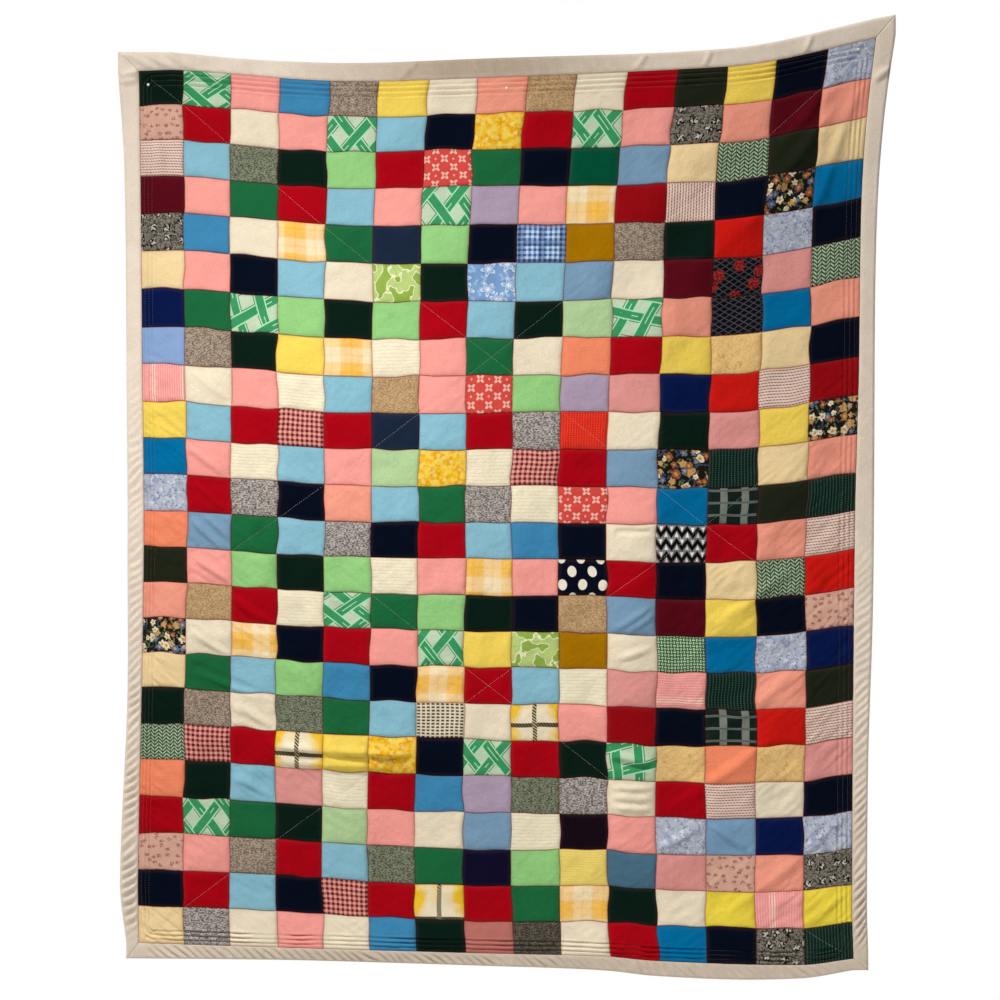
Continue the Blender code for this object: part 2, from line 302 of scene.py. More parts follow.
def drawn_in(x, y):
    """How deep the quilting and the tuck lines draw the cloth in."""
    depth = np.zeros_like(x)
    for start_column, start_row, end_column, end_row in QUILTING_LINES:
        run_x = (end_column - start_column) * PATCH_WIDTH
        run_y = (end_row - start_row) * PATCH_HEIGHT
        over_x = x - start_column * PATCH_WIDTH
        over_y = y - start_row * PATCH_HEIGHT
        distance = abs(over_x * run_y - over_y * run_x) / math.hypot(run_x, run_y)
        share = (over_x * run_x + over_y * run_y) / (run_x ** 2 + run_y ** 2)
        on_line = ease(share * 60.0) * ease((1.0 - share) * 60.0)
        depth += QUILTING_DEPTH * on_line * np.exp(-((distance / QUILTING_WIDTH) ** 2))
    inside = tucks_in(x, y)
    near_end = np.minimum(y, PANEL_LENGTH - y) < np.minimum(x, PANEL_WIDTH - x)
    end_depth = np.where(y < PANEL_LENGTH / 2, TOP_TUCK, BOTTOM_TUCK)
    tuck_depth = np.where(near_end, end_depth, SIDE_TUCK) * (1.0 + 0.8 * unevenness(x, y, 0.050))
    for line in TUCK_LINES:
        depth += tuck_depth * np.exp(-(((inside - line) / TUCK_WIDTH) ** 2))
        depth -= 0.5 * tuck_depth * np.exp(-(((inside - line - 0.38) / TUCK_WIDTH) ** 2))
    return depth


def drag_wrinkles(x, y):
    """Fine wrinkles, strongest in the lower half, that fall from both sides to the middle."""
    across, down = x / PANEL_WIDTH, y / PANEL_LENGTH
    falling = unevenness((x + y) * 0.22, x - 1.3 * y, WRINKLE_SIZE)
    rising = unevenness((x - y) * 0.22 + 3.0, x + 1.2 * y, WRINKLE_SIZE)
    here = 0.35 + 0.65 * ease(unevenness(x, y, 0.090) + 0.5)
    left = ease((down - 0.25) * 4.0) * ease(1.0 - across * 2.0)
    right = ease((down - 0.30) * 4.0) * ease(across * 2.0 - 1.0)
    return WRINKLE * here * (falling * (0.85 * left + 0.16) + rising * (0.50 * right + 0.14))


def face_height(x, y, seam_x, seam_y):
    """Thickness of the quilt at a flat place, given how far the nearest seams are."""
    puff = (1.0 - np.exp(-seam_x / PUFF_SHOULDER)) * (1.0 - np.exp(-seam_y / PUFF_SHOULDER))
    near_seam = np.exp(-np.minimum(seam_x, seam_y) / 0.012)
    pucker = unevenness(x, y * 0.4, PUCKER_SIZE) * np.exp(-seam_y / 0.010)
    pucker += unevenness(x * 0.4, y, PUCKER_SIZE) * np.exp(-seam_x / 0.010)
    swell = SWELL * unevenness(x, y, SWELL_SIZE)
    swell += SMALL_SWELL * unevenness(x, y, SMALL_SWELL_SIZE)
    creases = CREASE_LIFT * ridge(x, y, CREASES) + drag_wrinkles(x, y)
    body = PATCH_PUFF + swell + PUCKER * pucker + creases * (1.0 - 0.55 * near_seam)
    body = body * puff + creases * 0.4 * (1 - puff) - drawn_in(x, y)
    return CLOTH_AT_SEAM + np.maximum(body, -0.0010)


def tighten(share, amount=0.40):
    """Moves evenly spaced places closer to the two ends, where the seams need more squares."""
    return share - amount * np.sin(2.0 * math.pi * share) / (2.0 * math.pi)


def add_object(name, data):
    """Puts an object that holds a mesh, curve, light or camera into the scene."""
    made = bpy.data.objects.new(name, data)
    bpy.context.collection.objects.link(made)
    return made


def face_only(patch_x, patch_y, front, corners):
    """A strip's patch map, with the back and the edges kept clear of the seams' dark line."""
    patch = np.stack((patch_x, patch_y), axis=-1)
    is_face = front[corners].min(axis=1) > 0.5
    return np.where(is_face[:, None, None], patch, 0.5)


def quilted_strip(name, upright, along_squares, deep_squares, lay, cells, materials, choice):
    """A closed strip of quilt, a grid thickened into face and back and then laid in place.

    along_squares gives the grid squares in each of the strip's lengths. lay turns shares across
    and down into places, and gives the maps that the cloth's pattern reads. cells is how the
    lengths are set out on the strip's own map.
    """
    lengths = len(along_squares)
    squares = (deep_squares, sum(along_squares)) if upright else (sum(along_squares), deep_squares)
    bm = bmesh.new()
    bmesh.ops.create_grid(bm, x_segments=squares[0], y_segments=squares[1], size=0.5)
    made = bmesh.ops.extrude_face_region(bm, geom=bm.faces[:])
    face_verts = [item for item in made["geom"] if isinstance(item, bmesh.types.BMVert)]
    bmesh.ops.translate(bm, verts=face_verts, vec=(0.0, 0.0, 1.0))
    bmesh.ops.recalc_face_normals(bm, faces=bm.faces[:])
    mesh = bpy.data.meshes.new(name)
    bm.to_mesh(mesh)
    bm.free()

    shares = np.empty(len(mesh.vertices) * 3)
    mesh.vertices.foreach_get("co", shares)
    shares = shares.reshape(-1, 3)
    across, down, front = shares[:, 0] + 0.5, 0.5 - shares[:, 1], shares[:, 2]
    corners = np.empty(len(mesh.loops), dtype=np.int32)
    mesh.loops.foreach_get("vertex_index", corners)
    corners = corners.reshape(-1, 4)
    long_share, short_share = (down, across) if upright else (across, down)
    ends = np.concatenate(((0,), np.cumsum(along_squares))) / sum(along_squares)
    long_share = np.interp(long_share, ends, np.linspace(0.0, 1.0, lengths + 1))
    across, down = (short_share, long_share) if upright else (long_share, short_share)
    length_at = np.clip((long_share[corners].mean(axis=1) * lengths).astype(int), 0, lengths - 1)
    is_face = front[corners].min(axis=1) > 0.5
    is_back = front[corners].max(axis=1) < 0.5

    places, cloth_map, patch_map = lay(across, down, front, corners, length_at)
    mesh.vertices.foreach_set("co", places.ravel())

    # The strip's own flat map: one cell for each length of its face, and one for the rest.
    columns, rows = cells
    in_length = long_share[corners] * lengths - length_at[:, None]
    cell = np.where(is_face, length_at, lengths)
    cell_x = np.where(is_face[:, None], in_length, long_share[corners])
    cell_y = np.where(is_back[:, None], short_share[corners] * 0.70, short_share[corners])
    is_wall = ~is_face & ~is_back
    low = long_share[corners].max(axis=1) < 1e-6
    high = long_share[corners].min(axis=1) > 1.0 - 1e-6
    first = short_share[corners].max(axis=1) < 1e-6
    lift = front[corners] * 0.04
    cell_y = np.where((is_wall & first)[:, None], 0.74 + lift, cell_y)
    cell_y = np.where((is_wall & ~first & ~low & ~high)[:, None], 0.82 + lift, cell_y)
    end_wall = is_wall & (low | high)
    cell_x = np.where(end_wall[:, None], short_share[corners] * 0.4 + 0.5 * high[:, None], cell_x)
    cell_y = np.where(end_wall[:, None], 0.90 + lift, cell_y)
    bake = np.stack((
        (cell[:, None] % columns + 0.02 + 0.96 * cell_x) / columns,
        (cell[:, None] // columns + 0.02 + 0.96 * cell_y) / rows,
    ), axis=-1)
    for map_name, values in (("cloth", cloth_map), ("patch", patch_map), ("OFBake", bake)):
        layer = mesh.uv_layers.new(name=map_name)
        layer.uv.foreach_set("vector", values.astype(np.float32).ravel())
    mesh.uv_layers.active = mesh.uv_layers["cloth"]

    for material in materials:
        mesh.materials.append(material)
    slots = np.where(is_face, choice(length_at), len(materials) - 1).astype(np.int32)
    mesh.polygons.foreach_set("material_index", slots)
    mesh.polygons.foreach_set("use_smooth", is_face | is_back)
    mesh.update()
    return add_object(name, mesh)


class Reading:
    """A number or colour read over the cloth. Arithmetic on numbers adds Math nodes."""

    def __init__(self, cloth, socket):
        self.cloth = cloth
        self.socket = socket

    def math(self, operation, *others, clamp=False):
        return self.cloth.math(operation, self, *others, clamp=clamp)

    def __add__(self, other):
        return self.math("ADD", other)

    def __mul__(self, other):
        return self.math("MULTIPLY", other)

    def __sub__(self, other):
        return self.math("SUBTRACT", other)

    def __rsub__(self, other):
        return self.cloth.math("SUBTRACT", other, self)

    __radd__ = __add__
    __rmul__ = __mul__

    def size(self):
        return self.math("ABSOLUTE")

    def fold(self, pitch):
        """Distance from the nearest of a row of centres one pitch apart, with its sign."""
        return self.math("WRAP", pitch / 2, -pitch / 2)

    def bars(self, pitch, outer, inner):
        """Bars one pitch apart: 1 up to inner from a bar's middle and 0 from outer on. It gives
        the gaps between the bars when outer is the smaller."""
        return self.fold(pitch).size().rise(outer, inner)

    def count(self, pitch):
        """Which of the row's centres is nearest, as a whole number."""
        return (self * (1.0 / pitch) + 0.5).math("FLOOR")

    def rise(self, start, end):
        """0 up to start, 1 from end on; the other way round when end is the smaller."""
        scale = 1.0 / (end - start)
        return self.math("MULTIPLY_ADD", scale, -start * scale, clamp=True)


def dye(code):
    """A dye's linear colour from its six-figure code."""
    channels = [int(code[index:index + 2], 16) / 255.0 for index in (0, 2, 4)]
    linear = [c / 12.92 if c <= 0.04045 else ((c + 0.055) / 1.055) ** 2.4 for c in channels]
    return (*linear, 1.0)


class Cloth:
    """One fabric: its material, the nodes that draw it and the bolt's two coordinates."""

    def __init__(self, name):
        self.material = bpy.data.materials.new(name)
        self.material.use_nodes = True
        self.nodes = self.material.node_tree.nodes
        self.links = self.material.node_tree.links
        self.shader = self.nodes["Principled BSDF"]
        self.u, self.v = self.map_parts("cloth")

    def node(self, kind, settings, inputs):
        """Adds a node of a type with its settings and its sockets' values, dyes or links."""
        node = self.nodes.new(kind)
        for setting, value in settings.items():
            setattr(node, setting, value)
        for socket, value in inputs.items():
            if isinstance(value, Reading):
                self.links.new(value.socket, node.inputs[socket])
            else:
                value = dye(value) if isinstance(value, str) else value
                node.inputs[socket].default_value = value
        return [Reading(self, output) for output in node.outputs]

    def math(self, operation, *values, clamp=False):
        settings = {"operation": operation, "use_clamp": clamp}
        return self.node("ShaderNodeMath", settings, dict(enumerate(values)))[0]

    def map_parts(self, name):
        place = self.node("ShaderNodeUVMap", {"uv_map": name}, {})[0]
        return self.node("ShaderNodeSeparateXYZ", {}, {0: place})[:2]

    def mix(self, share, under, over, blend="MIX"):
        settings = {"data_type": "RGBA", "blend_type": blend, "clamp_factor": True}
        return self.node("ShaderNodeMix", settings, {0: share, 6: under, 7: over})[2]

    def at(self, across, down):
        return self.node("ShaderNodeCombineXYZ", {}, {0: across, 1: down})[0]

    def noise(self, size, detail=2.0, across=None, down=None):
        """Soft random blotches of about the given size, from 0 to 1."""
        across = self.u if across is None else across
        down = self.v if down is None else down
        inputs = {"Vector": self.at(across, down), "Scale": 1.0 / size, "Detail": detail}
        return self.node("ShaderNodeTexNoise", {"noise_dimensions": "2D"}, inputs)[0]

    def scatter(self, size, randomness=1.0):
        """Places scattered about one size apart: distance across and down from the nearest,
        and three random numbers for it."""
        place = self.at(self.u * (1.0 / size), self.v * (1.0 / size))
        inputs = {"Vector": place, "Scale": 1.0, "Randomness": randomness}
        found = self.node("ShaderNodeTexVoronoi", {"voronoi_dimensions": "2D"}, inputs)
        settings = {"operation": "SUBTRACT"}
        away = self.node("ShaderNodeVectorMath", settings, {0: place, 1: found[2]})[0]
        across, down = self.node("ShaderNodeSeparateXYZ", {}, {0: away})[:2]
        random = self.node("ShaderNodeSeparateColor", {}, {0: found[1]})
        return across * size, down * size, random

    def petals(self, across, down, count, radius, depth=0.3, turn=0.0):
        """How far inside a flower's edge a place is, as a share of its radius."""
        angle = down.math("ARCTAN2", across) * count + turn
        reach = angle.math("COSINE") * depth + (1.0 - depth)
        away = (across * across + down * down).math("SQRT")
        return 1.0 - away * (1.0 / radius) * reach.math("POWER", -1.0)

    def speckle(self, scale, detail):
        """Fine specks in a solid piece, from 0 to 1."""
        place = self.node("ShaderNodeTexCoord", {}, {})[3]
        inputs = {"Vector": place, "Scale": scale, "Detail": detail}
        return self.node("ShaderNodeTexNoise", {}, inputs)[0]

    def coat(self, colour, roughness):
        """Joins a colour and a roughness to the shader."""
        self.links.new(colour.socket, self.shader.inputs["Base Color"])
        self.links.new(roughness.socket, self.shader.inputs["Roughness"])
        return self.material

    def finish(self, colour, height=None, knit=0.0016):
        """Joins the colour and the surface to the shader, with what every patch shares: the
        stitch of the knit, uneven wear, the dark thread line in the seams, and painted shade beside
        them."""
        slow = self.noise(0.055, 3.0)
        fine = self.noise(0.0034, 1.0)
        worn = self.mix(1.0, colour, slow * 0.16 + fine * 0.22 + 0.81, "MULTIPLY")
        across, down = self.map_parts("patch")
        to_side = (0.5 - (across - 0.5).size()) * PATCH_WIDTH
        to_end = (0.5 - (down - 0.5).size()) * PATCH_HEIGHT
        to_seam = to_side.math("MINIMUM", to_end)
        uneven = (slow - 0.5) * 0.0012
        line = (to_seam + uneven).rise(0.0022, 0.0006)
        # Painted shade: the colour darkens within a centimetre of each seam, standing in for the shade
        # that falls in the seam's hollow.
        painted_seam_shade = to_seam.rise(0.0100, 0.0010) * 0.14
        seam_line_and_shade = self.mix(painted_seam_shade, worn, (0.10, 0.05, 0.05, 1.0))
        seam_line_and_shade = self.mix(line * 0.68, seam_line_and_shade, (0.52, 0.20, 0.17, 1.0), "MULTIPLY")
        stitch = (self.u * (2 * math.pi / knit)).math("SINE")
        stitch = stitch * (self.v * (2 * math.pi / (knit * 1.4))).math("SINE")
        crumple = self.noise(0.0150, 3.0)
        surface = stitch * 0.35 + (1.0 - line) * 1.2 + crumple * 4.0
        if height is not None:
            surface = surface + height
        inputs = {"Distance": 0.0005, "Strength": 0.8, "Height": surface}
        bump = self.node("ShaderNodeBump", {}, inputs)[0]
        self.links.new(bump.socket, self.shader.inputs["Normal"])
        self.shader.inputs["Specular IOR Level"].default_value = 0.03
        self.shader.inputs["Sheen Weight"].default_value = 0.004
        self.shader.inputs["Sheen Roughness"].default_value = 0.6
        return self.coat(seam_line_and_shade, slow * 0.12 + 0.82)


fabrics = {}


# Plain double knits in polyester: the greater part of the patches. Some have a rib knitted in.
PLAIN = {
    "DG": "081f18", "OL": "20261a", "GR": "1c6a40", "EM": "02523a", "LG": "96d488",
    "NV": "040c1e", "SN": "1a2840", "RN": "06184c", "MB": "3f8cbe", "BL": "0070aa",
    "LB": "8ac2da", "SB": "7ba0c2", "PW": "8aaadc", "LV": "b0a0bc", "RD": "aa0416",
    "BR": "d01a14", "DR": "960a14", "MR": "580a1a", "BM": "160a16", "PK": "fba6a0",
    "SP": "f6a28e", "DP": "e49c9a", "YL": "f8dc62", "PY": "f4dcaa", "MG": "a87602",
    "CR": "f0e6d0", "DQ": "bc746e", "SC": "7da6cc", "SK": "4d7590", "VN": "100c2c", "YB": "f2de4c",
}
for code, shade in PLAIN.items():
    cloth = Cloth("knit_" + code.lower())
    fabrics[code] = cloth.finish(shade)

# code: colour, rib's direction, pitch
RIBBED = {
    "CB": ("f6efd6", "down", 0.0084),
    "PG": ("b8dca6", "across", 0.0046),
    "OR": ("ff9470", "down", 0.0034),
    "YR": ("f6e07a", "down", 0.0060),
}
for code, (shade, direction, pitch) in RIBBED.items():
    cloth = Cloth("ribbed_" + code.lower())
    course = cloth.v if direction == "down" else cloth.u
    rib = course.bars(pitch, 0.0, pitch / 2)
    # Painted shade: the grooves between the ribs are darkened in the colour, as well as sunk in the
    # bump.
    groove = rib.rise(0.75, 1.0)
    colour = cloth.mix(groove * 0.16, shade, (0.30, 0.22, 0.16, 1.0))
    fabrics[code] = cloth.finish(colour, (1.0 - groove) * 1.2)


# Tweeds, whose two yarns are knitted into a broken speckle.
TWEEDS = {
    "TB": ("b8a898", "6e6258", 0.0036),
    "TG": ("c2bcb8", "605e60", 0.0040),
    "TE": ("8e9680", "485044", 0.0036),
    "TT": ("cfae84", "a08462", 0.0036),
    "TD": ("686258", "302e2c", 0.0040),
}
for code, (light, dark, size) in TWEEDS.items():
    cloth = Cloth("tweed_" + code.lower())
    speck = cloth.noise(size, 1.0, cloth.u * 0.75, cloth.v * 1.35)
    curl = cloth.noise(size * 3.0, 0.0)
    mask = (speck * 0.8 + curl * 0.2).rise(0.38, 0.62)
    colour = cloth.mix(mask, light, dark)
    fabrics[code] = cloth.finish(colour, speck)


LATTICE_REPEAT = 0.112
BAR_FROM_MIDDLE = 0.0250


def lattice_bars(across, width, outline):
    """Two bars in each repeat: the bar, its pale outline, the dark line beside that, and the
    thin split along the bar's middle."""
    place = across.fold(LATTICE_REPEAT).size()
    beside = (place - BAR_FROM_MIDDLE).size()
    bar = beside.rise(width / 2 + 0.0004, width / 2 - 0.0004)
    edge = beside.rise(width / 2 + outline + 0.0004, width / 2 + outline - 0.0004)
    split = beside.rise(0.0016, 0.0008)
    line_at = (place - (BAR_FROM_MIDDLE + width / 2 + outline + 0.0009)).size()
    line = line_at.rise(0.0014, 0.0007)
    return bar, edge, line, split


# A green lattice on a pale green ground: pairs of slanted bars that pass over and under.
cloth = Cloth("lattice_print")
slant = 0.92
first = cloth.u * math.sin(slant) + cloth.v * math.cos(slant)
second = cloth.u * math.sin(slant) - cloth.v * math.cos(slant)
bar_a, edge_a, line_a, split_a = lattice_bars(first, 0.0185, 0.0032)
bar_b, edge_b, line_b, split_b = lattice_bars(second, 0.0185, 0.0032)
sign_a, sign_b = [(way.fold(LATTICE_REPEAT) * 20.0).math("SIGN") for way in (first, second)]
over = (sign_a * sign_b).rise(0.0, 0.1)
ground = cloth.mix(cloth.noise(0.002, 0.0) * 0.3, "c6dcc2", "b2d0b0")
colour = cloth.mix(line_a.math("MAXIMUM", line_b), ground, "3a6a50")
colour = cloth.mix(edge_a, colour, "aee8c0")
colour = cloth.mix(bar_a, colour, "3c9b66")
short_a = (second - 0.0180).bars(LATTICE_REPEAT, 0.0210, 0.0200)
colour = cloth.mix(split_a * short_a, colour, "aee8c0")
colour = cloth.mix(edge_b * (edge_a * over).rise(1.0, 0.0), colour, "aee8c0")
colour = cloth.mix(bar_b * (edge_a * over).rise(1.0, 0.0), colour, "3c9b66")
short_b = (first + 0.0180).bars(LATTICE_REPEAT, 0.0210, 0.0200)
colour = cloth.mix(split_b * short_b * (1.0 - edge_a), colour, "aee8c0")
fabrics["GL"] = cloth.finish(colour)

# A black cloth with a fine grey lattice, plain or strewn with red roses.
for code in ("LK", "LR"):
    cloth = Cloth("lattice_" + code.lower())
    rising = (cloth.u * 0.54 + cloth.v * 0.84).bars(0.0118, 0.0016, 0.0006)
    falling = (cloth.u * 0.54 - cloth.v * 0.84).bars(0.0118, 0.0016, 0.0006)
    net = rising.math("MAXIMUM", falling)
    colour = cloth.mix(net * 0.70, "100c14", "545a62")
    if code == "LR":
        across, down, _ = cloth.scatter(0.046, 0.6)
        rose = cloth.petals(across, down, 7.0, 0.0155, 0.10).rise(0.0, 0.08)
        fleck = cloth.noise(0.0040, 1.0).rise(0.42, 0.60)
        colour = cloth.mix(rose, colour, cloth.mix(fleck, "5a1418", "b43430"))
    fabrics[code] = cloth.finish(colour)


# Woven-look geometrics, all knitted in two or three colours.
def houndstooth(cloth, pitch):
    """1 on the dark tooth of a houndstooth check, 0 on the light."""
    across = (cloth.u * (1.0 / pitch)).math("FRACT")
    down = (cloth.v * (1.0 / pitch)).math("FRACT")
    warp = across.rise(0.48, 0.52)
    weft = down.rise(0.48, 0.52)
    twill = ((cloth.u + cloth.v) * (4.0 / pitch)).math("FRACT").rise(0.45, 0.55)
    both = warp * weft
    neither = (1.0 - warp) * (1.0 - weft)
    return both + (1.0 - both) * (1.0 - neither) * twill


cloth = Cloth("houndstooth_red")
tooth = houndstooth(cloth, 0.0121)
fabrics["HR"] = cloth.finish(cloth.mix(tooth, "f4a8a0", "6c1620"), tooth)

cloth = Cloth("houndstooth_blue")
tooth = houndstooth(cloth, 0.0121)
bar_u = cloth.u.bars(0.0490, 0.0090, 0.0060)
bar_v = cloth.v.bars(0.0430, 0.0080, 0.0050)
colour = cloth.mix(tooth, "cce2fa", "2a62ae")
colour = cloth.mix(bar_u.math("MAXIMUM", bar_v) * (tooth * 0.35 + 0.55), colour, "16498e")
fabrics["HB"] = cloth.finish(colour, tooth)

cloth = Cloth("herringbone_green")
column = cloth.u.fold(0.0200)
slope = column.size() + cloth.v
stroke = slope.bars(0.0088, 0.0027, 0.0019)
between = (column.size() - 0.0050).size().rise(0.0047, 0.0038)
fabrics["HG"] = cloth.finish(cloth.mix(stroke * between, "24463a", "b4c8a8"), stroke)

cloth = Cloth("basket_check_green")
side = 0.0076
odd = ((cloth.u.count(side) + cloth.v.count(side)) * 0.5).math("FRACT").rise(0.2, 0.3)
upright = cloth.u.bars(side, 0.0022, 0.0014)
level = cloth.v.bars(side, 0.0022, 0.0014)
strand = upright * odd + level * (1.0 - odd)
fabrics["GB"] = cloth.finish(cloth.mix(strand, "20483a", "b4d8ac"), strand)

cloth = Cloth("basket_grid_cream")
dash_u = cloth.u.bars(0.0113, 0.0040, 0.0032)
dash_v = cloth.v.bars(0.0083, 0.0026, 0.0018)
dash = dash_u * dash_v
fabrics["BG"] = cloth.finish(cloth.mix(dash, "e6dcc4", "44403a"), dash)

cloth = Cloth("zigzag_black")
wave = cloth.u.fold(0.0238).size()
step = ((cloth.v + wave * 1.5) * (1.0 / 0.0300)).math("FRACT")
black = (step - 0.24).size().rise(0.235, 0.215)
peak = (wave - 0.0119).size() * 1.25 + (step - 0.73).size() * 0.0300
trough = wave * 1.25 + (step - 0.73).size() * 0.0300
white = peak.math("MINIMUM", trough).rise(0.0062, 0.0050)
colour = cloth.mix(white, "84868c", "f6f6f4")
fabrics["ZZ"] = cloth.finish(cloth.mix(black, colour, "0c0c10"))

cloth = Cloth("oval_spot_navy")
row = cloth.v.count(0.0330)
shift = (row * 0.5).math("FRACT") * 0.0466
across = (cloth.u + shift + cloth.v * 0.05).fold(0.0466)
down = cloth.v.fold(0.0330)
oval = (across * across * (1 / 0.0104 ** 2) + down * down * (1 / 0.0136 ** 2)).rise(1.06, 0.94)
fabrics["DT"] = cloth.finish(cloth.mix(oval, "070c1e", "f0ece0"))

# Code: name, the dots' bars across and down, strength, ground, dot.
DOTTED = {
    "DD": ("dark_green", (0.0074, 0.0017, 0.0009), (0.0042, 0.0015, 0.0007), 0.45, "0c241e", "5c8478"),
    "RT": ("red", (0.0064, 0.0016, 0.0008), (0.0052, 0.0020, 0.0010), 0.40, "de2a1c", "ff7a5c"),
}
for code, (name, bars_across, bars_down, strength, ground, dot) in DOTTED.items():
    cloth = Cloth("dotted_knit_" + name)
    rows_across = cloth.u.bars(*bars_across)
    dots = rows_across * cloth.v.bars(*bars_down)
    fabrics[code] = cloth.finish(cloth.mix(dots * strength, ground, dot), rows_across)

cloth = Cloth("windowpane_dark_green")
band = (cloth.u - 0.0245).bars(0.0490, 0.0088, 0.0076)
rail = cloth.v.bars(0.0300, 0.0032, 0.0024)
core = cloth.v.bars(0.0300, 0.0010, 0.0004)
rib = cloth.u.bars(0.0034, 0.0008, 0.0014)
colour = cloth.mix(rib, "101a1a", "1e332e")
colour = cloth.mix(band, colour, "7c847e")
colour = cloth.mix(rail, colour, "6c746e")
fabrics["WP"] = cloth.finish(cloth.mix(core * 0.6, colour, "28383a"), rib)

cloth = Cloth("dashed_stripe_pink")
course = cloth.v.bars(0.0066, 0.0015, 0.0008)
broken = (cloth.u + cloth.v.count(0.0066) * 0.0031).bars(0.0074, 0.0033, 0.0026)
fabrics["PD"] = cloth.finish(cloth.mix(course * broken * 0.85, "f0d6ca", "5c3440"))

cloth = Cloth("stripe_pink")
fine = cloth.u.bars(0.0062, 0.0018, 0.0010)
wide = cloth.u.bars(0.0800, 0.0100, 0.0060)
colour = cloth.mix(fine * 0.5, "f89c9e", "ffd2c8")
fabrics["ST"] = cloth.finish(cloth.mix(wide * fine * 0.9, colour, "ffe8da"), fine)

cloth = Cloth("plaid_yellow")
wide_u = cloth.u.bars(0.0960, 0.0300, 0.0190)
wide_v = cloth.v.bars(0.0800, 0.0260, 0.0160)
thin_u = cloth.u.bars(0.0240, 0.0030, 0.0016)
thin_v = cloth.v.bars(0.0200, 0.0026, 0.0014)
deep = (wide_u + wide_v) * 0.42 + (thin_u + thin_v) * 0.14
colour = cloth.mix(deep, "fdecc8", "f8be3c")
fabrics["YP"] = cloth.finish(colour)

cloth = Cloth("banded_cream_yellow")
glow_u = cloth.u.size().rise(0.0260, 0.0560)
glow_v = cloth.v.size().rise(0.0100, 0.0420)
glow = (glow_u + glow_v * 0.6) * (cloth.noise(0.030, 1.0) + 0.25)
colour = cloth.mix(glow.rise(0.25, 0.85), "f4ead0", "f4ca34")
half = 0.0052
upright = cloth.u.size().rise(half + 0.0003, half - 0.0003)
level = cloth.v.size().rise(half + 0.0003, half - 0.0003)
twist_u = (cloth.v + cloth.u * 0.8).bars(0.0074, 0.0020, 0.0012)
twist_v = (cloth.u + cloth.v * 0.8).bars(0.0074, 0.0016, 0.0008)
colour = cloth.mix(level, colour, cloth.mix(twist_v * 0.6, "3a3224", "a89a78"))
colour = cloth.mix(upright, colour, cloth.mix(twist_u * 0.9, "2e281c", "dccfac"))
fabrics["YX"] = cloth.finish(colour)


# Flowered and scrolled prints, each drawn afresh in the real ones' colours and scale.
cloth = Cloth("flower_print_coral")
across, down = cloth.u.fold(0.0430), cloth.v.fold(0.0400)
drop_u, drop_v = (cloth.u + 0.0215).fold(0.0430), (cloth.v + 0.0200).fold(0.0400)
flower = cloth.petals(across, down, 4.0, 0.0120, 0.30, math.pi)
flower = flower.math("MAXIMUM", cloth.petals(drop_u, drop_v, 4.0, 0.0120, 0.30, math.pi))
bud = cloth.petals(across.size() - 0.0215, down, 3.0, 0.0032, 0.1).rise(0.0, 0.12)
colour = cloth.mix(flower.rise(0.0, 0.10), "d84e48", "f8c0b4")
colour = cloth.mix(flower.rise(0.62, 0.76), colour, "b03438")
fabrics["CF"] = cloth.finish(cloth.mix(bud * 0.8, colour, "ffb4a8"))

cloth = Cloth("flower_print_dark")
across, down, random = cloth.scatter(0.0200, 1.0)
turn = random[0] * 6.0
ragged = (cloth.noise(0.0055, 2.0) - 0.5) * 0.0070
grown = random[2] * 0.75 + 0.72
across = (across + ragged) * grown
down = (down - ragged) * grown
bloom = cloth.petals(across, down, 5.0, 0.0100, 0.16, turn).rise(0.0, 0.10)
heart = cloth.petals(across, down, 5.0, 0.0036, 0.10).rise(0.0, 0.15)
leaf_u, leaf_v, leaf_random = cloth.scatter(0.0120, 1.0)
leaf = cloth.petals(leaf_u, leaf_v, 2.0, 0.0060, 0.42, leaf_random[1] * 6.0).rise(0.0, 0.15)
leaf_colour = cloth.mix(leaf_random[2].rise(0.45, 0.55), "6c7c50", "3c5064")
petal = cloth.mix(random[1].rise(0.40, 0.42), "efe6cc", "9c5a44")
petal = cloth.mix(random[1].rise(0.66, 0.68), petal, "c8a070")
petal = cloth.mix(random[1].rise(0.84, 0.86), petal, "5878a4")
petal = cloth.mix(cloth.noise(0.0040, 1.0).rise(0.50, 0.75) * 0.4, petal, "6c4c3c")
colour = cloth.mix(leaf, "1e1a12", leaf_colour)
colour = cloth.mix(bloom, colour, petal)
fabrics["NF"] = cloth.finish(cloth.mix(heart, colour, "d89c3c"))

cloth = Cloth("scroll_print_blue_grey")
scroll = (cloth.noise(0.0170, 2.0) - 0.5).size().rise(0.030, 0.012)
blot = cloth.noise(0.0300, 2.0).rise(0.55, 0.68)
colour = cloth.mix(blot * 0.55, "bac4d8", "8a98c0")
colour = cloth.mix(scroll * 0.8, colour, "6c78a4")
pale = cloth.noise(0.0120, 1.0).rise(0.62, 0.70)
fabrics["TF"] = cloth.finish(cloth.mix(pale * 0.7, colour, "dce4ee"))

cloth = Cloth("flower_print_black_grey")
across, down, random = cloth.scatter(0.0330, 0.7)
rose = cloth.petals(across, down, 4.0, 0.0140, 0.22, random[0] * 6.0)
scroll = (cloth.noise(0.0100, 2.0) - 0.5).size().rise(0.060, 0.026)
fleck = cloth.noise(0.0060, 1.0).rise(0.46, 0.54)
colour = cloth.mix(scroll * 0.90, "827e76", "141414")
colour = cloth.mix(rose.rise(0.0, 0.1) * fleck, colour, "101012")
colour = cloth.mix(rose.rise(0.30, 0.40) * (1.0 - fleck), colour, "c4c2b8")
fabrics["BF"] = cloth.finish(colour)

cloth = Cloth("squiggle_print_pink")
across, down, _ = cloth.scatter(0.0185, 0.75)
away = (across * across + down * down * 1.6).math("SQRT") + cloth.noise(0.0045, 1.0) * 0.0080
blot = away.rise(0.0100, 0.0084) * cloth.noise(0.0036, 0.0).rise(0.28, 0.46)
fabrics["PS"] = cloth.finish(cloth.mix(blot * 0.80, "dcb0a0", "98584e"))

